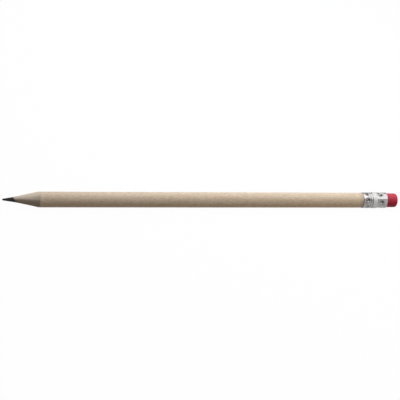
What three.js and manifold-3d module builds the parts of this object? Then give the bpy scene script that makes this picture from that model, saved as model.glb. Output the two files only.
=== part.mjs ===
// Round natural-wood pencil with a crimped aluminium ferrule and a red eraser.
// Millimetres, +Z up. The pencil lies along X with its point towards -X and rests on Z = 0.
import * as THREE from "three";
import { mergeVertices } from "three/addons/utils/BufferGeometryUtils.js";
import Module from "manifold-3d";

const wasm = await Module();
wasm.setup();

// Whole pencil
const overallLength = 190;
const sides = 36;

// Wooden case: two grooved slats with a thin film of glue between them
const bodyDiameter = 7.1;
const pointLength = 16.4;
const tenonLength = 6.0;
const tenonGap = 0.08;
const glueThickness = 0.1;
const glueInset = 0.02;
const glueSetback = 0.6;

// Lead: bare in front of the wood, a little below the middle of the body
const leadDiameter = 2.6;
const leadReach = 5.9;
const leadTipDiameter = 0.84;
const leadGap = 0.05;
const coreDrop = 0.18;

// Ferrule: formed from thin sheet, so every dent, ring and band shows inside and outside
const ferruleLength = 12.0;
const ferruleDiameter = 7.5;
const ferruleWall = 0.25;
const rimChamfer = 0.08;
const bandWidth = 2.1;
const bandHeight = 0.08;
const bandPlace = 5.9;
const ringWidth = 0.5;
const ringDepth = 0.1;
const ringStep = 1.0;

// Crimps: two rows of round dents, one into the wood and one into the eraser
const crimpCount = 6;
const crimpWidth = 3.2;
const crimpDepth = 0.5;
const crimpTurn = -5.5;
const crimpStagger = 16;
const woodCrimpPlace = 2.0;
const eraserCrimpPlace = 3.0;

// Eraser: plug held in the ferrule, with a rounded edge and a flat end
const eraserDiameter = 6.65;
const eraserReach = 5.65;
const eraserEdge = 1.2;
const plugGap = 0.08;
const seatGap = 0.2;

// Fitted sizes
const bodyRadius = bodyDiameter / 2;
const leadRadius = leadDiameter / 2;
const grooveRadius = leadRadius + leadGap;
const ferruleRadius = ferruleDiameter / 2;
const boreRadius = ferruleRadius - ferruleWall;
const eraserRadius = eraserDiameter / 2;
const ferruleStart = overallLength - eraserReach - ferruleLength;
const ferruleEnd = ferruleStart + ferruleLength;
const woodEnd = ferruleStart + tenonLength;
const plugStart = woodEnd + seatGap;
const axisHeight = (ferruleRadius + bandHeight) * Math.cos(Math.PI / sides);

// Vertices hold 32-bit numbers, so a row lies on an edge when it is this close to it
const touch = 1e-3;

// How far the ferrule's sheet stands out (+) or is pressed in (-), at a distance from its front rim
// and a turn about the pencil measured from the top towards the front.
const bandStart = bandPlace - bandWidth / 2;
const bandEnd = bandPlace + bandWidth / 2;
const frontRing = bandStart - ringWidth / 2;
const ringCentres = [frontRing - ringStep, frontRing];
const crimpRows = [
  { place: woodCrimpPlace, turn: THREE.MathUtils.degToRad(crimpTurn) },
  {
    place: ferruleLength - eraserCrimpPlace,
    turn: THREE.MathUtils.degToRad(crimpTurn + crimpStagger),
  },
];

function bump(distance, reach) {
  return distance < reach ? 0.5 + 0.5 * Math.cos((Math.PI * distance) / reach) : 0;
}

function formed(place, turn) {
  let height = place > bandStart - touch && place < bandEnd + touch ? bandHeight : 0;
  for (const centre of ringCentres) {
    height -= ringDepth * bump(Math.abs(place - centre), ringWidth / 2);
  }
  const pitch = (2 * Math.PI) / crimpCount;
  for (const row of crimpRows) {
    const turns = (turn - row.turn) / pitch;
    const around = (turns - Math.round(turns)) * pitch * ferruleRadius;
    height -= crimpDepth * bump(Math.hypot(place - row.place, around), crimpWidth / 2);
  }
  return height;
}

// Rows along the ferrule where its wall, the wood inside it and the plug inside it all have vertices
function formRows() {
  const rows = [bandStart, bandEnd];
  for (const row of crimpRows) {
    for (const share of [-1, -0.7, -0.37, 0, 0.37, 0.7, 1]) {
      rows.push(row.place + (share * crimpWidth) / 2);
    }
  }
  for (const centre of ringCentres) {
    rows.push(centre - ringWidth / 2, centre, centre + ringWidth / 2);
  }
  rows.sort((a, b) => a - b);
  const least = 0.15;
  return rows.filter((row, i) => {
    const onBand = row === bandStart || row === bandEnd;
    return i === 0 || onBand || row - rows[i - 1] > least;
  });
}
const ferruleRows = formRows().filter((row) => {
  return row > rimChamfer && row < ferruleLength - rimChamfer;
});

// A profile of [distance from the tip, radius] turned about the pencil's axis;
// wall(distance, turn, radius) can give each point of the wall its own radius.
function turned(profile, wall = null) {
  const points = profile.map(([distance, radius]) => new THREE.Vector2(radius, distance));
  const geometry = new THREE.LatheGeometry(points, sides, Math.PI / sides);
  const position = geometry.attributes.position;
  for (let i = 0; wall && i < position.count; i += 1) {
    const radius = Math.hypot(position.getX(i), position.getZ(i));
    if (radius < touch) continue;
    const turn = Math.atan2(position.getX(i), position.getZ(i));
    const scale = wall(position.getY(i), turn, radius) / radius;
    position.setX(i, position.getX(i) * scale);
    position.setZ(i, position.getZ(i) * scale);
  }
  geometry.rotateZ(-Math.PI / 2);
  geometry.translate(-overallLength / 2, 0, axisHeight);
  return geometry;
}

function solid(geometry) {
  const bare = geometry.clone();
  bare.deleteAttribute("normal");
  bare.deleteAttribute("uv");
  const merged = mergeVertices(bare, 1e-4);
  const index = merged.index.array;
  const faces = [];
  for (let i = 0; i < index.length; i += 3) {
    const [a, b, c] = [index[i], index[i + 1], index[i + 2]];
    if (a !== b && b !== c && c !== a) faces.push(a, b, c);
  }
  const vertProperties = new Float32Array(merged.attributes.position.array);
  const triVerts = new Uint32Array(faces);
  return new wasm.Manifold(new wasm.Mesh({ numProp: 3, vertProperties, triVerts }));
}

function geometryOf(body) {
  const mesh = body.getMesh();
  const geometry = new THREE.BufferGeometry();
  const vertices = new Float32Array(mesh.vertProperties);
  const triangles = new Uint32Array(mesh.triVerts);
  geometry.setAttribute("position", new THREE.BufferAttribute(vertices, 3));
  geometry.setIndex(new THREE.BufferAttribute(triangles, 1));
  geometry.computeVertexNormals();
  return geometry;
}

// Block between two corners, used to part the case at the glue film
function block(low, high) {
  const size = high.map((value, i) => value - low[i]);
  const geometry = new THREE.BoxGeometry(...size);
  geometry.translate(...low.map((value, i) => value + size[i] / 2));
  return solid(geometry);
}

// The sharpened outline shared by the wood and the lead: rounded tip, slender lead, wider wooden cone
const tipRadius = leadTipDiameter / 2;
const tipOutline = [0, 30, 60, 90].map((degrees) => {
  const angle = THREE.MathUtils.degToRad(degrees);
  return [tipRadius * (1 - Math.cos(angle)), tipRadius * Math.sin(angle)];
});
const pointOutline = [...tipOutline, [leadReach, grooveRadius], [pointLength, bodyRadius]];

// Wooden case before it is parted: point, round body and the slimmer tenon inside the ferrule
const leastRow = 0.1;
const tenonRows = ferruleRows
  .filter((row) => row < tenonLength - leastRow)
  .map((row) => [ferruleStart + row, boreRadius]);
const caseOutline = [
  ...pointOutline,
  [ferruleStart - tenonGap, bodyRadius],
  [ferruleStart - tenonGap, boreRadius - tenonGap],
  ...tenonRows,
  [woodEnd, boreRadius],
  [woodEnd, 0],
];
const caseSolid = solid(
  turned(caseOutline, (distance, turn, radius) => {
    if (distance < ferruleStart - touch) return radius;
    return boreRadius - tenonGap + Math.min(0, formed(distance - ferruleStart, turn));
  }),
);
const coreHeight = axisHeight - coreDrop;
const grooveCut = new THREE.CylinderGeometry(grooveRadius, grooveRadius, overallLength + 2, 24);
grooveCut.rotateZ(Math.PI / 2);
grooveCut.translate(0, 0, coreHeight);
const grooved = caseSolid.subtract(solid(grooveCut));

const far = overallLength;
const filmTop = coreHeight + glueThickness / 2;
const filmBottom = coreHeight - glueThickness / 2;
const upperSlat = grooved.intersect(block([-far, -far, filmTop], [far, far, far]));
const lowerSlat = grooved.intersect(block([-far, -far, -far], [far, far, filmBottom]));

// Glue films: a thin strip on each side of the lead, from just behind the sharpened edge to the end
// of the wood, a hair inside the surface of the case
const flatShare = Math.cos(Math.PI / sides);
const glueStart = leadReach + glueSetback;
const coneRise = (bodyRadius - grooveRadius) / (pointLength - leadReach);
const coneEdge = (grooveRadius + glueSetback * coneRise) * flatShare - glueInset;
const bodyEdge = bodyRadius * flatShare - glueInset;
const tenonEdge = (boreRadius - tenonGap - ringDepth) * flatShare - glueInset;
function glueFilm(side) {
  const outline = [
    [glueStart, grooveRadius],
    [woodEnd, grooveRadius],
    [woodEnd, tenonEdge],
    [ferruleStart - tenonGap, tenonEdge],
    [ferruleStart - tenonGap, bodyEdge],
    [pointLength, bodyEdge],
    [glueStart, coneEdge],
  ];
  const corners = outline.map(([distance, reach]) => new THREE.Vector2(distance, side * reach));
  const shape = new THREE.Shape(corners);
  const geometry = new THREE.ExtrudeGeometry(shape, { depth: glueThickness, bevelEnabled: false });
  geometry.translate(-overallLength / 2, 0, filmBottom);
  return geometry;
}

// Lead: a rod as long as the pencil's wood, sharpened with it
const leadRod = new THREE.CylinderGeometry(leadRadius, leadRadius, woodEnd, 24);
leadRod.rotateZ(Math.PI / 2);
leadRod.translate((woodEnd - overallLength) / 2, 0, coreHeight);
const leadOutline = [...pointOutline, [woodEnd, bodyRadius], [woodEnd, 0]];
const lead = solid(leadRod).intersect(solid(turned(leadOutline)));

// Ferrule: a closed ring of sheet with chamfered rims
const outerRows = ferruleRows.map((row) => [ferruleStart + row, ferruleRadius]);
const innerRows = ferruleRows.map((row) => [ferruleStart + row, boreRadius]).reverse();
const ferruleOutline = [
  [ferruleStart, ferruleRadius - rimChamfer],
  [ferruleStart + rimChamfer, ferruleRadius],
  ...outerRows,
  [ferruleEnd - rimChamfer, ferruleRadius],
  [ferruleEnd, ferruleRadius - rimChamfer],
  [ferruleEnd, boreRadius],
  ...innerRows,
  [ferruleStart, boreRadius],
  [ferruleStart, ferruleRadius - rimChamfer],
];
const ferrule = turned(ferruleOutline, (distance, turn, radius) => {
  return radius + formed(distance - ferruleStart, turn);
});

// Eraser: plug pressed in by the crimps, then the bare end with its rounded edge
const plugRows = ferruleRows.filter((row) => row > plugStart - ferruleStart + leastRow);
const edgeOutline = [0, 22.5, 45, 67.5, 90].map((degrees) => {
  const angle = THREE.MathUtils.degToRad(degrees);
  return [
    overallLength - eraserEdge * (1 - Math.sin(angle)),
    eraserRadius - eraserEdge * (1 - Math.cos(angle)),
  ];
});
const eraserOutline = [
  [plugStart, 0],
  [plugStart, eraserRadius],
  ...plugRows.map((row) => [ferruleStart + row, eraserRadius]),
  [ferruleEnd, eraserRadius],
  ...edgeOutline,
  [overallLength, 0],
];
const eraser = turned(eraserOutline, (distance, turn, radius) => {
  if (distance > ferruleEnd + touch) return radius;
  return Math.min(radius, boreRadius + formed(distance - ferruleStart, turn) - plugGap);
});

const woodColour = { color: 0xd9c3a5, roughness: 0.7, metalness: 0 };
const glueColour = { color: 0xc9b48e, roughness: 0.6, metalness: 0 };

const pencil = new THREE.Group();
pencil.name = "pencil_with_eraser";

function place(name, geometry, look) {
  const mesh = new THREE.Mesh(geometry, new THREE.MeshStandardMaterial(look));
  mesh.name = name;
  pencil.add(mesh);
}

place("upper_slat", geometryOf(upperSlat), woodColour);
place("lower_slat", geometryOf(lowerSlat), woodColour);
place("glue_line_front", glueFilm(-1), glueColour);
place("glue_line_back", glueFilm(1), glueColour);
place("graphite_lead", geometryOf(lead), { color: 0x2e2d2c, roughness: 0.5, metalness: 0.3 });
place("ferrule", ferrule, { color: 0xd4d6d5, roughness: 0.3, metalness: 1 });
place("eraser", eraser, { color: 0xc8455a, roughness: 0.75, metalness: 0 });

export default pencil;
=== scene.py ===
import math

import bpy
import numpy as np
from mathutils import Matrix, Vector


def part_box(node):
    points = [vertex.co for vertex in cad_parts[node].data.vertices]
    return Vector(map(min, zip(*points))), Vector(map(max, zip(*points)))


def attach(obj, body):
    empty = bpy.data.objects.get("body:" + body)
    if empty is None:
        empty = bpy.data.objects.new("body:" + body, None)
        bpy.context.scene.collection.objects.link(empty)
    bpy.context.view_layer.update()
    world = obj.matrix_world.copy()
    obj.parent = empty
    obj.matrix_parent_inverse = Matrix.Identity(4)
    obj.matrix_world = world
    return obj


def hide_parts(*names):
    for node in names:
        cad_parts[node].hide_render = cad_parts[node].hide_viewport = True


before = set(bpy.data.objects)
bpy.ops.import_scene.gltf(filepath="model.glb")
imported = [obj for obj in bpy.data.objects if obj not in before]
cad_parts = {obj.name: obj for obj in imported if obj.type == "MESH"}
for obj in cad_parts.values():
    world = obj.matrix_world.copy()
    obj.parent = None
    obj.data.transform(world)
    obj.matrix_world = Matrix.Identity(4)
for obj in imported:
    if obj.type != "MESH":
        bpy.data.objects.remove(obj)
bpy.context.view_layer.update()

# Wooden case, lower and upper slat: pale, close-grained wood, each slat planed with a half-round groove for
# the lead, glued to the other, moulded round together and sharpened. The end inside the ferrule is turned
# down a little and carries the dents of the crimps.
MM = 0.001
pencil_length = 190.0
body_radius = 3.55
lead_tip_radius = 0.42
lead_cone_end = 5.6
lead_cone_radius = 1.25
groove_radius = 1.32
shoulder_at = 16.4
core_drop = 0.18
glue_thickness = 0.1
ferrule_start = 172.35
ferrule_length = 12.0
tenon_length = 6.0
tenon_gap = 0.08
end_round = 0.3
end_drop = 0.1

ferrule_low, ferrule_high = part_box("ferrule")
axis_height = 0.5 * (ferrule_low.z + ferrule_high.z) / MM
band_radius = 0.5 * (ferrule_high.y - ferrule_low.y) / MM
band_height = 0.08
ferrule_radius = band_radius - band_height
ferrule_wall = 0.25
bore_radius = ferrule_radius - ferrule_wall


def ramp(value, start, length):
    """Rises evenly from 0 at the start to 1 one length further on, and is level before and after."""
    return np.clip((value - start) / length, 0.0, 1.0)


def soft_dent(distance, reach):
    """Half a cosine wave: 1 in the middle, 0 with no slope at the reach and beyond."""
    return 0.5 + 0.5 * np.cos(np.pi * np.clip(distance / reach, 0.0, 1.0))


def cut_wander(angle):
    """How far the sharpener's cut runs ahead at each turn, in millimetres: a sum of sine waves, each with
    its height, its count to the round and its start."""
    waves = ((0.35, 1.0, 4.0), (0.12, 3.0, 7.6), (0.03, 7.0, 0.0))
    return sum(height * np.sin(count * angle - start) for height, count, start in waves)


def sharpened_radius(along, angle):
    """Outline left by the sharpener: a round tip, a slender run over the lead and a wider cone over the
    wood, cut off at the body; the wander of the cut grows along the wooden cone and moves its shoulder."""
    moved = along + cut_wander(angle) * ramp(along, lead_cone_end, shoulder_at - lead_cone_end)
    short_of_tip = np.clip(lead_tip_radius - along, 0.0, None)
    tip = np.sqrt(np.clip(lead_tip_radius**2 - short_of_tip**2, 0.0, None))
    run = np.interp(
        moved,
        [lead_tip_radius, lead_cone_end, shoulder_at],
        [lead_tip_radius, lead_cone_radius, body_radius],
    )
    return np.where(along < lead_tip_radius, tip, run)


def tip_drift(along):
    """Sideways shift of a cone that was sharpened a little out of true, in millimetres: the tip lies to the
    front and down, in a straight line from the shoulder, and the cone bows to the back and up, by the share
    of the way from the shoulder times the square of the rest, scaled to 1 at its largest."""
    tip_offset = np.array([0.0, -0.035, -0.045])
    bow = np.array([0.0, 0.05, 0.062])
    bow_scale = 27.0 / 4.0
    share = 1.0 - ramp(along, 0.0, shoulder_at)[..., None]
    return share * tip_offset + bow_scale * share * (1.0 - share) ** 2 * bow


def crimp_distance(place, turn):
    """Distance over the sheet to the middle of the nearest crimp, in millimetres, from the distances along
    and around: two rows of six, set a part of a step apart, each at a distance from the ferrule's front rim
    and a turn from the top towards the front."""
    crimp_count = 6
    crimp_rows = ((2.0, math.radians(-5.5)), (9.0, math.radians(10.5)))
    pitch = 2.0 * np.pi / crimp_count
    nearest = np.inf
    for crimp_place, crimp_turn in crimp_rows:
        steps = (turn - crimp_turn) / pitch
        around = (steps - np.round(steps)) * pitch * ferrule_radius
        nearest = np.minimum(nearest, np.hypot(place - crimp_place, around))
    return nearest


def ring_share(place):
    """A soft dent about each of the two rolled rings in front of the band: 1 in its middle, 0 beside it."""
    ring_reach = 0.25
    ring_places = (3.6, 4.6)
    return sum(soft_dent(np.abs(place - ring_place), ring_reach) for ring_place in ring_places)


def band_share(place):
    """1 on the flat raised band, 0 off it, with a short slope at each foot."""
    band_start, band_end, band_foot = 4.85, 6.95, 0.12
    return np.minimum(ramp(place, band_start, band_foot), ramp(-place, -band_end, band_foot))


crimp_reach = 1.6


def sheet_form(place, turn):
    """How far the ferrule's sheet stands out or is pressed in, in millimetres: the band out, the rings in,
    and at each crimp a shallow round dish, a parabola, with a deep soft pit in its middle."""
    ring_depth = 0.1
    dish_depth = 0.34
    pit_reach, pit_depth = 0.75, 0.38
    distance = crimp_distance(place, turn)
    dish = np.clip(1.0 - (distance / crimp_reach) ** 2, 0.0, None)
    pit = soft_dent(distance, pit_reach)
    pressed_in = ring_depth * ring_share(place) + dish_depth * dish + pit_depth * pit
    return band_height * band_share(place) - pressed_in


def grid_faces(index, wrap=False):
    """Quads of a grid of vertex numbers, counted along its rows and then its columns; wrap joins the last
    row to the first."""
    if wrap:
        index = np.vstack([index, index[:1]])
    corners = [index[:-1, :-1], index[:-1, 1:], index[1:, 1:], index[1:, :-1]]
    return np.stack(corners, axis=-1).reshape(-1, 4)


def add_piece(name, points, faces, material, node):
    """Smooth-shaded mesh of points in millimetres, with distance along the pencil first, put in place of
    its CAD node."""
    crease_angle = math.radians(40.0)
    mesh = bpy.data.meshes.new(name)
    placed = (points + [-0.5 * pencil_length, 0.0, axis_height]) * MM
    mesh.from_pydata(placed.tolist(), [], [face for block in faces for face in block.tolist()])
    mesh.polygons.foreach_set("use_smooth", np.ones(len(mesh.polygons), bool))
    mesh.set_sharp_from_angle(angle=crease_angle)
    mesh.materials.append(material)
    piece = bpy.data.objects.new(name, mesh)
    bpy.context.scene.collection.objects.link(piece)
    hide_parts(node)
    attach(piece, "root")
    return piece


def add_marks(piece, marks):
    """Puts each mark, a number for every vertex, into the mesh as a point attribute for its finish."""
    for name, values in marks.items():
        attribute = piece.data.attributes.new(name, "FLOAT", "POINT")
        attribute.data.foreach_set("value", values.reshape(-1))


def add_node(tree, kind, values=None, links=None, **settings):
    """Shader node with its settings, its socket values and the sockets that feed it."""
    node = tree.nodes.new(kind)
    for key, value in settings.items():
        setattr(node, key, value)
    for key, value in (values or {}).items():
        node.inputs[key].default_value = value
    for key, source in (links or {}).items():
        tree.links.new(source, node.inputs[key])
    return node


def new_finish(name):
    """Material with one principled shader, and the object coordinates in metres that its patterns read."""
    material = bpy.data.materials.new(name)
    material.use_nodes = True
    tree = material.node_tree
    shader = tree.nodes["Principled BSDF"]
    coordinates = tree.nodes.new("ShaderNodeTexCoord").outputs["Object"]
    return material, tree, shader, coordinates


def streaks(tree, coordinates, scale, shift, detail, roughness=0.5):
    """Noise drawn out along the pencil: scale gives its repeats per metre along, across and up."""
    mapping = add_node(
        tree, "ShaderNodeMapping", {"Scale": scale, "Location": shift}, {"Vector": coordinates}
    )
    noise = add_node(
        tree,
        "ShaderNodeTexNoise",
        {"Scale": 1.0, "Detail": detail, "Roughness": roughness},
        {"Vector": mapping.outputs["Vector"]},
    )
    return noise.outputs["Fac"]


def spread(tree, source, low, high, to_low=0.0, to_high=1.0):
    """Stretches the part of a pattern between low and high to the range asked for, and clips the rest."""
    node = add_node(
        tree,
        "ShaderNodeMapRange",
        {"From Min": low, "From Max": high, "To Min": to_low, "To Max": to_high},
        {"Value": source},
    )
    return node.outputs["Result"]


def blend_colour(tree, share, first, second):
    """Mixes two colours, each a red, green and blue or a socket, by the share that a socket gives."""
    node = add_node(tree, "ShaderNodeMix", data_type="RGBA", blend_type="MIX")
    sockets = {socket.identifier: socket for socket in node.inputs}
    tree.links.new(share, sockets["Factor_Float"])
    for target, colour in ((sockets["A_Color"], first), (sockets["B_Color"], second)):
        if isinstance(colour, bpy.types.NodeSocket):
            tree.links.new(colour, target)
        else:
            target.default_value = (*colour, 1.0)
    return next(socket for socket in node.outputs if socket.identifier == "Result_Color")


def read_mark(tree, name):
    """The mesh's own point attribute of that name."""
    return add_node(tree, "ShaderNodeAttribute", attribute_name=name).outputs["Fac"]


def add_bump(tree, shader, height, strength, distance):
    """Roughens a shader by a pattern's height, over a distance in metres."""
    bump = add_node(
        tree, "ShaderNodeBump", {"Strength": strength, "Distance": distance}, {"Height": height}
    )
    tree.links.new(bump.outputs["Normal"], shader.inputs["Normal"])


def slat_wood(name, shift):
    """Pale wood: broad soft bands, fine fibres and short flecks along the grain; paler where the sharpener
    cut it, painted grey shade near the shoulder, painted brown shade on the cone's lower side, dark where
    graphite powder lies, and a painted shade line at the ferrule's rim."""
    pale, tan = (0.84, 0.69, 0.525), (0.745, 0.595, 0.435)
    fleck_brown, fleck_white = (0.50, 0.37, 0.24), (1.0, 0.90, 0.74)
    # the grey is painted shade on the cone close to the shoulder
    cut_pale, shoulder_shade_grey = (0.92, 0.80, 0.67), (0.55, 0.46, 0.37)
    # the brown is painted shade for the cone's lower side; the dark grey serves both graphite powder behind
    # the lead and a painted shade line at the ferrule's rim
    lower_shade_brown, dust_and_shade_dark = (0.48, 0.395, 0.315), (0.20, 0.19, 0.18)
    material, tree, shader, coordinates = new_finish(name)
    turned, turned_again = (shift[1], shift[2], shift[0]), (shift[2], shift[0], shift[1])
    bands = streaks(tree, coordinates, (9.0, 420.0, 420.0), shift, detail=3.0)
    fibres = streaks(tree, coordinates, (140.0, 2300.0, 2300.0), shift, detail=3.0, roughness=0.6)
    flecks = streaks(tree, coordinates, (520.0, 2000.0, 2000.0), turned, detail=3.0, roughness=0.85)
    mottle = streaks(tree, coordinates, (120.0, 700.0, 700.0), turned_again, detail=2.0)
    wood = blend_colour(tree, spread(tree, bands, low=0.3, high=0.7), pale, tan)
    wood = blend_colour(tree, spread(tree, fibres, low=0.35, high=0.68, to_high=0.4), wood, tan)
    wood = blend_colour(tree, spread(tree, mottle, low=0.4, high=0.7, to_high=0.5), wood, pale)
    wood = blend_colour(tree, spread(tree, flecks, low=0.50, high=0.25, to_high=0.62), wood, fleck_brown)
    wood = blend_colour(tree, spread(tree, flecks, low=0.50, high=0.75, to_high=0.62), wood, fleck_white)
    half_cut = spread(tree, read_mark(tree, "cut"), low=0.0, high=1.0, to_high=0.5)
    wood = blend_colour(tree, half_cut, wood, cut_pale)
    # painted shade: grey darkening on the cone close to the shoulder
    wood = blend_colour(tree, read_mark(tree, "shoulder_shade"), wood, shoulder_shade_grey)
    # painted shade: the cone's lower side is darkened brown where the lamps leave it in shade
    wood = blend_colour(tree, read_mark(tree, "lower_shade"), wood, lower_shade_brown)
    # graphite powder behind the lead, plus a painted shade line on the wood at the ferrule's rim
    wood = blend_colour(tree, read_mark(tree, "dust_and_rim_shade"), wood, dust_and_shade_dark)
    roughness = spread(tree, fibres, low=0.3, high=0.7, to_low=0.42, to_high=0.54)
    tree.links.new(wood, shader.inputs["Base Color"])
    tree.links.new(roughness, shader.inputs["Roughness"])
    shader.inputs["Specular IOR Level"].default_value = 0.07
    add_bump(tree, shader, fibres, strength=0.35, distance=0.00004)
    return material


def slat_marks(points, edge, shoulder):
    """Marks at each point of a slat, from its distance along the pencil and its turn down from the top
    towards the front, in degrees: cut before the shoulder, painted brown shade on the cone's lower side,
    painted grey shade close to the shoulder, stronger below the top, dusty behind the lead, and a thin
    painted shade line at the ferrule's rim, darker on the lower side."""
    cut_blur = 0.15
    lower_shade_most, lower_shade_start, lower_shade_climb, lower_shade_blur = 0.9, 44.0, 8.0, 8.0
    under_start, under_length = 150.0, 30.0
    shoulder_shade_least, shoulder_shade_more, shoulder_shade_start, shoulder_shade_blur, shoulder_shade_length = 0.15, 0.4, 12.0, 20.0, 4.0
    dust_most, dust_fade = 0.55, 0.9
    line_start, line_blur = 0.126, 0.42
    line_least, line_turn, line_turn_blur = 0.5, 30.0, 40.0
    along = points[..., 0]
    lowered = np.degrees(np.arctan2(-points[..., 1], points[..., 2]))
    cut = 1.0 - ramp(along, shoulder - 0.5 * cut_blur, cut_blur)
    # painted shade: darker brown from a turn of about 44 to 52 degrees down, fading out right underneath
    lower_shade_edge = lower_shade_start + lower_shade_climb * ramp(along, edge, shoulder - edge)
    lower_shade = lower_shade_most * cut * ramp(lowered, lower_shade_edge, lower_shade_blur)
    lower_shade = lower_shade * (1.0 - ramp(lowered, under_start, under_length))
    # painted shade: grey near the shoulder, stronger from 12 degrees down the turn
    shoulder_shade = shoulder_shade_least + shoulder_shade_more * ramp(lowered, shoulder_shade_start, shoulder_shade_blur)
    shoulder_shade = shoulder_shade * cut * (1.0 - ramp(shoulder - along, 0.0, shoulder_shade_length))
    lead_dust = dust_most * np.exp(-np.clip(along - edge, 0.0, None) / dust_fade)
    # painted shade: a thin dark line on the wood in front of the ferrule's rim, where the rim shades it,
    # darker on the lower side
    rim_shade_share = line_least + (1.0 - line_least) * ramp(lowered, line_turn, line_turn_blur)
    rim_shade = rim_shade_share * (1.0 - ramp(ferrule_start - along, line_start, line_blur))
    return {"cut": cut, "lower_shade": lower_shade, "shoulder_shade": shoulder_shade, "dust_and_rim_shade": lead_dust + rim_shade}


def slat_surface(side):
    """One slat as a grid: across it runs the turn from seam to seam, along it a closed outline that goes
    back over the sharpened cone and the round body to the end of the tenon, and forward again along the
    groove. side is 1 for the upper slat and -1 for the lower. Returns its points, faces and marks."""
    columns = 121
    edge_low, edge_high, edge_steps = 3.0, 9.0, 2401
    cone_rows, body_rows, rounding_rows, tenon_rows = 40, 72, 8, 41
    before_shoulder, behind_shoulder = 0.99, 0.0006

    plane = 0.5 * glue_thickness - side * core_drop
    first = math.asin(0.5 * glue_thickness / groove_radius)
    sweep = np.linspace(first, np.pi - first, columns)
    groove_y = groove_radius * np.cos(sweep)
    groove_z = groove_radius * np.sin(sweep) - side * core_drop
    groove_angle = np.unwrap(np.arctan2(groove_z, groove_y))
    share = (groove_angle - groove_angle[0]) / (groove_angle[-1] - groove_angle[0])
    angle = side * groove_angle

    # the front edge lies where the sharpened outline meets the groove, found in a fine table for each column
    table = np.linspace(edge_low, edge_high, edge_steps)
    outline = sharpened_radius(table[:, None], angle[None, :])
    edge = table[np.argmin(np.abs(outline - np.hypot(groove_y, groove_z)[None, :]), axis=0)]
    shoulder = shoulder_at - cut_wander(angle)

    # a close row on each side of the shoulder keeps its crease sharp
    cone_steps = np.append(np.linspace(0.0, before_shoulder, cone_rows), 1.0)[:, None]
    body_steps = np.append(behind_shoulder, np.linspace(0.0, 1.0, body_rows + 1)[1:])[:, None]
    rounding = np.linspace(0.0, 1.0, rounding_rows + 1)[1:, None]
    body_end = ferrule_start - tenon_gap
    round_start = body_end - end_round
    cone = edge + (shoulder - edge) * cone_steps
    body = shoulder + (round_start - shoulder) * body_steps
    body = np.vstack([body, round_start + end_round * rounding + np.zeros_like(share)])
    tenon_places = np.linspace(0.0, tenon_length, tenon_rows)[:, None] + np.zeros_like(share)
    groove_along = np.vstack([cone, body, tenon_places + ferrule_start])
    along = groove_along.copy()
    along[-tenon_rows] -= tenon_gap

    radius = sharpened_radius(along, angle[None, :] + np.zeros_like(along))
    end_rows = slice(-tenon_rows - rounding_rows, -tenon_rows)
    radius[end_rows] -= end_drop * (1.0 - np.sqrt(1.0 - rounding**2))
    radius[-tenon_rows:] = bore_radius - tenon_gap
    turn_start = np.arcsin(np.clip(plane / radius, -1.0, 1.0))
    polar = turn_start + (np.pi - 2.0 * turn_start) * share
    turn = np.arctan2(-np.cos(polar), side * np.sin(polar))
    radius[-tenon_rows:] += np.minimum(0.0, sheet_form(tenon_places, turn[-tenon_rows:]))
    outer = np.stack([along, radius * np.cos(polar), side * radius * np.sin(polar)], axis=-1)
    zeros = np.zeros_like(along)
    inner = np.stack([groove_along, groove_y + zeros, side * groove_z + zeros], axis=-1)
    outer[0] = inner[0]
    loop = np.concatenate([outer, inner[:0:-1]])
    loop = loop + tip_drift(loop[..., 0])

    index = np.arange(loop.shape[0] * columns).reshape(-1, columns)
    outer_index = index[: len(outer)]
    inner_index = np.concatenate([index[:1], index[: len(outer) - 1 : -1]])
    faces = [grid_faces(index, wrap=True)]
    for column, order in ((0, -1), (columns - 1, 1)):
        ladder = np.stack([outer_index[:, column], inner_index[:, column]], axis=1)
        faces.append(grid_faces(ladder[1:])[:, ::order])
        faces.append(np.array([[ladder[0, 0], ladder[1, 1], ladder[1, 0]]])[:, ::order])
    faces = [block[:, ::side] for block in faces]
    return loop.reshape(-1, 3), faces, slat_marks(loop, edge, shoulder)


for slat_node, slat_side, grain_shift in (
    ("lower_slat", -1, (3.1, 7.7, 1.3)),
    ("upper_slat", 1, (0.4, 2.9, 5.2)),
):
    slat_points, slat_faces, marks = slat_surface(slat_side)
    grain = slat_wood(f"{slat_node}_grain", grain_shift)
    slat = add_piece(f"{slat_node}_wood", slat_points, slat_faces, grain, slat_node)
    add_marks(slat, marks)

# Lead: a fired rod of graphite and clay, glued in the groove and sharpened with the wood, so that it is a
# slender cone with a blunt round tip. It lies a little below the middle, as its slanted edge shows.
lead_radius = 1.315
case_end = ferrule_start + tenon_length
lead_black, lead_grey = (0.012, 0.012, 0.0125), (0.026, 0.026, 0.027)

graphite, tree, shader, coordinates = new_finish("fired_graphite")
grinding = streaks(tree, coordinates, (5200.0, 900.0, 900.0), (1.0, 2.0, 3.0), detail=3.0)
smudges = streaks(tree, coordinates, (700.0, 900.0, 900.0), (4.0, 1.0, 2.0), detail=2.0)
lead_colour = blend_colour(tree, spread(tree, smudges, low=0.35, high=0.7), lead_black, lead_grey)
lead_roughness = spread(tree, grinding, low=0.3, high=0.7, to_low=0.36, to_high=0.5)
tree.links.new(lead_colour, shader.inputs["Base Color"])
tree.links.new(lead_roughness, shader.inputs["Roughness"])
add_bump(tree, shader, grinding, strength=0.3, distance=0.00002)
shader.inputs["Metallic"].default_value = 0.25
shader.inputs["Specular IOR Level"].default_value = 0.2


def closed_columns(shape):
    """Vertex numbers of a grid whose columns go round the pencil, with the first one again at the end."""
    index = np.arange(shape[0] * shape[1]).reshape(shape)
    return np.hstack([index, index[:, :1]])


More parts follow.
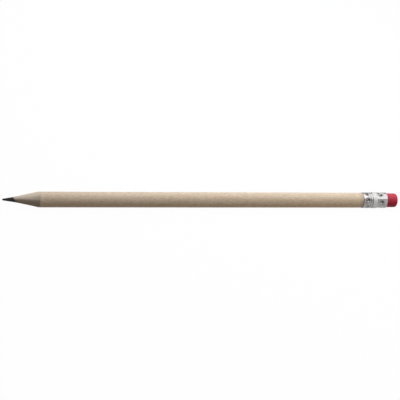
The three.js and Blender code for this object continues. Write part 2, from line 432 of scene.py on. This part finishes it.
def lead_surface():
    """The smaller of two radii at every turn: the sharpened outline about the pencil's axis, and the rod's
    own circle about its lower axis; closed by a vertex at the tip and one at the flat end."""
    columns = 96
    round_rows = 13
    cone_start, cone_end, cone_rows = 0.5, 9.0, 86
    rod_start, rod_rows = 12.0, 34
    round_tip = lead_tip_radius * (1.0 - np.cos(np.linspace(0.0, 0.5 * np.pi, round_rows)[1:]))
    cone = np.linspace(cone_start, cone_end, cone_rows)
    along = np.concatenate([round_tip, cone, np.linspace(rod_start, case_end, rod_rows)])[:, None]
    angle = np.linspace(0.0, 2.0 * np.pi, columns, endpoint=False)
    rod = -core_drop * np.sin(angle) + np.sqrt(lead_radius**2 - (core_drop * np.cos(angle)) ** 2)
    radius = np.minimum(sharpened_radius(along, angle[None, :]), rod)
    rings = np.stack(
        [along + np.zeros_like(radius), radius * np.cos(angle), radius * np.sin(angle)], axis=-1
    )
    around = closed_columns(radius.shape)
    points = np.vstack([rings.reshape(-1, 3), [[0.0, 0.0, 0.0], [case_end, 0.0, -core_drop]]])
    points = points + tip_drift(points[:, 0])
    tip = np.stack([around[0, 1:], around[0, :-1], np.full(columns, radius.size)], axis=1)
    end = np.stack([around[-1, :-1], around[-1, 1:], np.full(columns, radius.size + 1)], axis=1)
    return points, [grid_faces(around), tip, end]


lead_points, lead_faces = lead_surface()
add_piece("graphite_lead_point", lead_points, lead_faces, graphite, "graphite_lead")

# Glue films: dried wood glue, squeezed to a hair's breadth between the slats on each side of the lead, and
# cut back with the wood by the moulder and the sharpener.
glue_inset = 0.015
glue_start = 6.5
glue_light, glue_dark = (0.40, 0.30, 0.19), (0.30, 0.21, 0.12)
dried_glue, tree, shader, coordinates = new_finish("dried_glue")
glue_beads = streaks(tree, coordinates, (400.0, 3000.0, 3000.0), (2.0, 5.0, 1.0), detail=2.0)
glue_colour = blend_colour(tree, spread(tree, glue_beads, low=0.35, high=0.65), glue_light, glue_dark)
tree.links.new(glue_colour, shader.inputs["Base Color"])
shader.inputs["Roughness"].default_value = 0.5


def glue_surface(side):
    """A flat strip: four corners carried along the pencil, from the groove out to just inside the body's
    surface. side is 1 for the back film and -1 for the front."""
    cone_rows, body_rows = 30, 60
    body_start = 18.0
    tenon_inset = 0.1
    cone = np.linspace(glue_start, shoulder_at, cone_rows)
    body = np.linspace(body_start, ferrule_start - tenon_gap, body_rows)
    along = np.concatenate([cone, body, [ferrule_start, case_end]])
    reach = sharpened_radius(along, np.full_like(along, 0.0 if side > 0 else np.pi))
    reach[-2:] = bore_radius - tenon_gap - tenon_inset
    reach = np.sqrt(reach**2 - core_drop**2) - glue_inset
    groove = np.full_like(along, groove_radius)
    corners_y = np.stack([groove, reach, reach, groove], axis=1)
    corners_z = np.array([-0.5, -0.5, 0.5, 0.5]) * glue_thickness - core_drop
    zeros = np.zeros_like(corners_y)
    points = np.stack([along[:, None] + zeros, side * corners_y, corners_z + zeros], axis=-1)
    points = points + tip_drift(points[..., 0])
    around = closed_columns(corners_y.shape)
    caps = np.array([around[0, 3::-1], around[-1, :4]])
    return points.reshape(-1, 3), [block[:, ::side] for block in (grid_faces(around), caps)]


for film_node, film_side in (("glue_line_front", -1), ("glue_line_back", 1)):
    film_points, film_faces = glue_surface(film_side)
    add_piece(f"{film_node}_film", film_points, film_faces, dried_glue, film_node)

# Ferrule: a sleeve rolled from thin bright aluminium, with a plain raised band, rolled rings beside it and
# two rows of round crimps that hold it on the wood and hold the eraser in it.
rim_round = 0.09
bright_metal, dull_metal, band_metal = (0.36, 0.355, 0.35), (0.22, 0.215, 0.21), (0.46, 0.45, 0.44)
# colour of the painted shade and dark reflection in the pits, dishes and rings
dent_shade_colour = (0.03, 0.024, 0.022)
band_roughness = 0.48
aluminium, tree, shader, coordinates = new_finish("rolled_aluminium")
rolling = streaks(tree, coordinates, (9000.0, 500.0, 500.0), (1.0, 3.0, 2.0), detail=3.0)
haze = streaks(tree, coordinates, (500.0, 500.0, 500.0), (3.0, 1.0, 2.0), detail=3.0)
satin = read_mark(tree, "satin")
metal_colour = blend_colour(tree, spread(tree, haze, low=0.35, high=0.7), bright_metal, dull_metal)
metal_colour = blend_colour(tree, satin, metal_colour, band_metal)
# painted shade and dark reflection darken the pits, dishes and rings
metal_colour = blend_colour(tree, read_mark(tree, "dent_shade"), metal_colour, dent_shade_colour)
polish = spread(tree, haze, low=0.3, high=0.7, to_low=0.14, to_high=0.22)
metal_roughness = add_node(
    tree, "ShaderNodeMath", {1: band_roughness}, {0: satin, 2: polish}, operation="MULTIPLY_ADD"
)
tree.links.new(metal_colour, shader.inputs["Base Color"])
tree.links.new(metal_roughness.outputs[0], shader.inputs["Roughness"])
add_bump(tree, shader, rolling, strength=0.12, distance=0.00001)
shader.inputs["Metallic"].default_value = 1.0


def turned_points(along, radius, turn):
    """Points at a distance along the pencil, at a radius and a turn from the top towards the front."""
    return np.stack([along + np.zeros_like(radius), -radius * np.sin(turn), radius * np.cos(turn)], axis=-1)


def ferrule_marks(place, turn):
    """Satin on the band, and painted shade and dark reflection: a dark patch beside the middle of each pit,
    a thin darkening over each dish, and the rings."""
    patch_shift, patch_turn, patch_reach = 0.45, 0.1, 0.95
    dish_shade_share, dish_shade_blur = 0.2, 0.3
    ring_shade_share = 0.7
    # painted dark reflection: each patch sits off the pit's middle, over the wall that mirrors the dark
    # front; the dish film and rings are painted shade too
    patch = soft_dent(crimp_distance(place - patch_shift, turn + patch_turn), patch_reach)
    film = dish_shade_share * ramp(crimp_reach - crimp_distance(place, turn), 0.0, dish_shade_blur)
    dent_shade = np.clip(patch + film + ring_shade_share * ring_share(place), 0.0, 1.0)
    return {"dent_shade": dent_shade, "satin": band_share(place) + np.zeros_like(dent_shade)}


def ferrule_surface():
    """A closed outline of sheet, out over the wall, round the rear rim, back inside and round the front
    rim, turned about the pencil; every point is moved in or out by the sheet's pressed form at its place."""
    columns = 300
    rim_rows, wall_rows, inside_rows = 6, 190, 70
    wall_margin = 0.15
    rim = np.linspace(0.0, 0.5 * np.pi, rim_rows)
    rim_place = rim_round * (1.0 - np.cos(rim))
    rim_radius = ferrule_radius - rim_round * (1.0 - np.sin(rim))
    wall = np.linspace(wall_margin, ferrule_length - wall_margin, wall_rows)
    inside = np.linspace(ferrule_length, 0.0, inside_rows)
    wall_radius = np.full_like(wall, ferrule_radius)
    inside_radius = np.full_like(inside, bore_radius)
    place = np.concatenate([rim_place, wall, ferrule_length - rim_place[::-1], inside])[:, None]
    radius = np.concatenate([rim_radius, wall_radius, rim_radius[::-1], inside_radius])[:, None]
    turn = np.linspace(0.0, 2.0 * np.pi, columns, endpoint=False)[None, :]
    pressed = radius + sheet_form(place, turn)
    points = turned_points(ferrule_start + place, pressed, turn)
    faces = [grid_faces(closed_columns(pressed.shape), wrap=True)]
    return points.reshape(-1, 3), faces, ferrule_marks(place, turn)


ferrule_points, ferrule_faces, marks = ferrule_surface()
sleeve = add_piece("ferrule_sleeve", ferrule_points, ferrule_faces, aluminium, "ferrule")
add_marks(sleeve, marks)

# Eraser: a moulded plug of red rubber, gripped by the rear crimps, with a rounded edge and a flat end. Its
# upper side is painted a paler red: painted light from the lamp above.
eraser_radius = 3.325
eraser_edge = 1.2
plug_gap = 0.08
seat_gap = 0.2
# the paler red is painted light on the upper side
bright_red, deep_red, top_light_red = (0.38, 0.006, 0.03), (0.35, 0.008, 0.034), (0.60, 0.050, 0.088)
rubber, tree, shader, coordinates = new_finish("red_rubber")
grit = streaks(tree, coordinates, (3800.0, 3800.0, 3800.0), (1.0, 1.0, 5.0), detail=3.0)
bloom = streaks(tree, coordinates, (420.0, 420.0, 420.0), (2.0, 4.0, 1.0), detail=2.0)
rubber_colour = blend_colour(tree, spread(tree, bloom, low=0.35, high=0.7), bright_red, deep_red)
# painted light: the upper side is a paler red, lighter the higher it lies
rubber_colour = blend_colour(tree, read_mark(tree, "top_light"), rubber_colour, top_light_red)
rubber_roughness = spread(tree, grit, low=0.3, high=0.7, to_low=0.45, to_high=0.58)
tree.links.new(rubber_colour, shader.inputs["Base Color"])
tree.links.new(rubber_roughness, shader.inputs["Roughness"])
add_bump(tree, shader, grit, strength=0.3, distance=0.00005)
shader.inputs["Specular IOR Level"].default_value = 0.2


def eraser_surface():
    """An outline from the middle of the plug's inner end, along its wall, round the outer edge and in to
    the middle of the end, turned about the pencil; inside the ferrule the wall gives way to the crimps.
    Painted light makes it a paler red by its height above the axis."""
    columns = 160
    seat_rows, seat_radius = 5, 0.6
    held_rows, free_rows, edge_rows, end_rows = 59, 22, 17, 8
    plug_start = case_end + seat_gap
    ferrule_end = ferrule_start + ferrule_length
    edge_start = pencil_length - eraser_edge
    edge = np.linspace(0.0, 0.5 * np.pi, edge_rows)
    end_radius = np.linspace(eraser_radius - eraser_edge, 0.0, end_rows + 2)[1:-1]
    along = np.concatenate(
        [
            np.full(seat_rows, plug_start),
            np.linspace(plug_start, ferrule_end, held_rows + 1)[1:],
            np.linspace(ferrule_end, edge_start, free_rows + 2)[1:-1],
            pencil_length - eraser_edge * (1.0 - np.sin(edge)),
            np.full(end_rows, pencil_length),
        ]
    )[:, None]
    radius = np.concatenate(
        [
            np.linspace(seat_radius, eraser_radius, seat_rows),
            np.full(held_rows + free_rows, eraser_radius),
            eraser_radius - eraser_edge * (1.0 - np.cos(edge)),
            end_radius,
        ]
    )[:, None]
    turn = np.linspace(0.0, 2.0 * np.pi, columns, endpoint=False)[None, :]
    held = bore_radius + sheet_form(along - ferrule_start, turn) - plug_gap
    wall = np.where(along <= ferrule_end, np.minimum(radius, held), radius)
    around = closed_columns(wall.shape)
    poles = [[plug_start, 0.0, 0.0], [pencil_length, 0.0, 0.0]]
    points = np.vstack([turned_points(along, wall, turn).reshape(-1, 3), poles])
    inner = np.stack([around[0, 1:], around[0, :-1], np.full(columns, wall.size)], axis=1)
    outer = np.stack([around[-1, :-1], around[-1, 1:], np.full(columns, wall.size + 1)], axis=1)
    # painted light: paler on top by height above the axis
    marks = {"top_light": np.clip(points[:, 2] / eraser_radius, 0.0, 1.0)}
    return points, [grid_faces(around), inner, outer], marks


eraser_points, eraser_faces, marks = eraser_surface()
plug = add_piece("eraser_plug", eraser_points, eraser_faces, rubber, "eraser")
add_marks(plug, marks)

# Floor: a plain sheet that the camera sees as white, with the pencil's faint soft shadow, and that metal
# mirrors as white too. It returns only a little light to the pencil's underside.
floor_half = 0.4
glow_share = 0.975
white = (1.0, 1.0, 1.0)
bounce_colour = (0.46, 0.425, 0.385)


def background_rays(tree):
    """1 for a ray from the camera or from a glossy or clear surface, 0 for any other."""
    path = tree.nodes.new("ShaderNodeLightPath")
    mirrored = add_node(
        tree,
        "ShaderNodeMath",
        links={0: path.outputs["Is Glossy Ray"], 1: path.outputs["Is Transmission Ray"]},
        operation="MAXIMUM",
    )
    shown = add_node(
        tree,
        "ShaderNodeMath",
        links={0: path.outputs["Is Camera Ray"], 1: mirrored.outputs[0]},
        operation="MAXIMUM",
    )
    return shown.outputs[0]


floor_corners = np.array([[-1.0, -1.0, 0.0], [1.0, -1.0, 0.0], [1.0, 1.0, 0.0], [-1.0, 1.0, 0.0]])
floor_mesh = bpy.data.meshes.new("floor")
floor_mesh.from_pydata((floor_half * floor_corners).tolist(), [], [(0, 1, 2, 3)])
floor = bpy.data.objects.new("floor", floor_mesh)
bpy.context.scene.collection.objects.link(floor)
floor_paint = bpy.data.materials.new("floor_paint")
floor_paint.use_nodes = True
tree = floor_paint.node_tree
tree.nodes.remove(tree.nodes["Principled BSDF"])
shown = background_rays(tree)
floor_colour = blend_colour(tree, shown, bounce_colour, white)
matte = add_node(tree, "ShaderNodeBsdfDiffuse", links={"Color": floor_colour})
glow = add_node(tree, "ShaderNodeEmission", {"Color": (*white, 1.0), "Strength": 1.0})
shown_glow = add_node(tree, "ShaderNodeMath", {1: glow_share}, {0: shown}, operation="MULTIPLY")
floor_mix = add_node(
    tree, "ShaderNodeMixShader", links={0: shown_glow.outputs[0], 1: matte.outputs[0], 2: glow.outputs[0]}
)
tree.links.new(floor_mix.outputs[0], tree.nodes["Material Output"].inputs["Surface"])
floor_mesh.materials.append(floor_paint)

# Studio light: a wide soft box above and behind the pencil, and a weak warm fill by its eraser that the
# metal doesn't mirror. The room is white to the camera and in reflections, and gives no other light.
softbox_x = 0.075
softbox_y = 0.062
softbox_z = 0.208
softbox_turn = math.radians(-38.0)
softbox_width = 0.48
softbox_depth = 0.36
softbox_radiance = 1.85
softbox_colour = (0.99, 1.0, 1.03)
fill_x = 0.22
fill_y = -0.19
fill_z = 0.13
fill_width = 0.22
fill_depth = 0.22
fill_radiance = 0.64
fill_colour = (1.0, 0.78, 0.58)
lit_spot = Vector((0.06, 0.0, 0.0))


def add_soft_light(name, place, upright, turn, width, depth, radiance, colour, mirrored):
    """Rectangular area light that faces the pencil, with its depth along the upright given, turned about
    its own axis, and its power worked out from the brightness of its face: pi times radiance times area."""
    light = bpy.data.lights.new(name, "AREA")
    light.shape = "RECTANGLE"
    light.size = width
    light.size_y = depth
    light.color = colour
    light.energy = math.pi * radiance * width * depth
    holder = bpy.data.objects.new(name, light)
    backward = (place - lit_spot).normalized()
    across = upright.cross(backward).normalized()
    facing = Matrix((across, backward.cross(across), backward)).transposed().to_4x4()
    holder.matrix_world = Matrix.Translation(place) @ facing @ Matrix.Rotation(turn, 4, "Z")
    holder.visible_camera = False
    holder.visible_glossy = mirrored
    bpy.context.scene.collection.objects.link(holder)


add_soft_light(
    "softbox",
    place=Vector((softbox_x, softbox_y, softbox_z)),
    upright=Vector((0.0, 1.0, 0.0)),
    turn=softbox_turn,
    width=softbox_width,
    depth=softbox_depth,
    radiance=softbox_radiance,
    colour=softbox_colour,
    mirrored=True,
)
add_soft_light(
    "fill",
    place=Vector((fill_x, fill_y, fill_z)),
    upright=Vector((0.0, 0.0, 1.0)),
    turn=0.0,
    width=fill_width,
    depth=fill_depth,
    radiance=fill_radiance,
    colour=fill_colour,
    mirrored=False,
)

room = bpy.data.worlds.new("room")
room.use_nodes = True
tree = room.node_tree
background = tree.nodes["Background"]
background.inputs["Color"].default_value = (*white, 1.0)
tree.links.new(background_rays(tree), background.inputs["Strength"])
bpy.context.scene.world = room

# Camera: a long lens, looking down on the pencil's front, with the point turned towards it and the camera
# rolled so that the pencil lies level in the square frame.
sight_turn = math.radians(16.2)
sight_drop = math.radians(38.7)
sight_distance = 0.7142
aim_along = 92.0
aim_lift = -0.07
frame_slope = math.radians(0.12)
ahead = Vector((0.0, math.cos(sight_drop), -math.sin(sight_drop)))
forward = Vector((math.sin(sight_turn), 0.0, 0.0)) + math.cos(sight_turn) * ahead
level = Vector((math.cos(sight_turn), 0.0, 0.0)) - math.sin(sight_turn) * ahead
upright = level.cross(forward)
right = level * math.cos(frame_slope) + upright * math.sin(frame_slope)
up = right.cross(forward)
aim = Vector((aim_along - 0.5 * pencil_length, 0.0, axis_height)) * MM + up * aim_lift * MM
lens = bpy.data.cameras.new("camera")
lens.sensor_width = 36.0
lens.lens = 138.8
lens.clip_start = 0.01
lens.clip_end = 50.0
camera = bpy.data.objects.new("camera", lens)
turned = Matrix((right, up, -forward)).transposed().to_4x4()
camera.matrix_world = Matrix.Translation(aim - forward * sight_distance) @ turned
bpy.context.scene.collection.objects.link(camera)
bpy.context.scene.camera = camera
bpy.context.scene.view_settings.view_transform = "Standard"
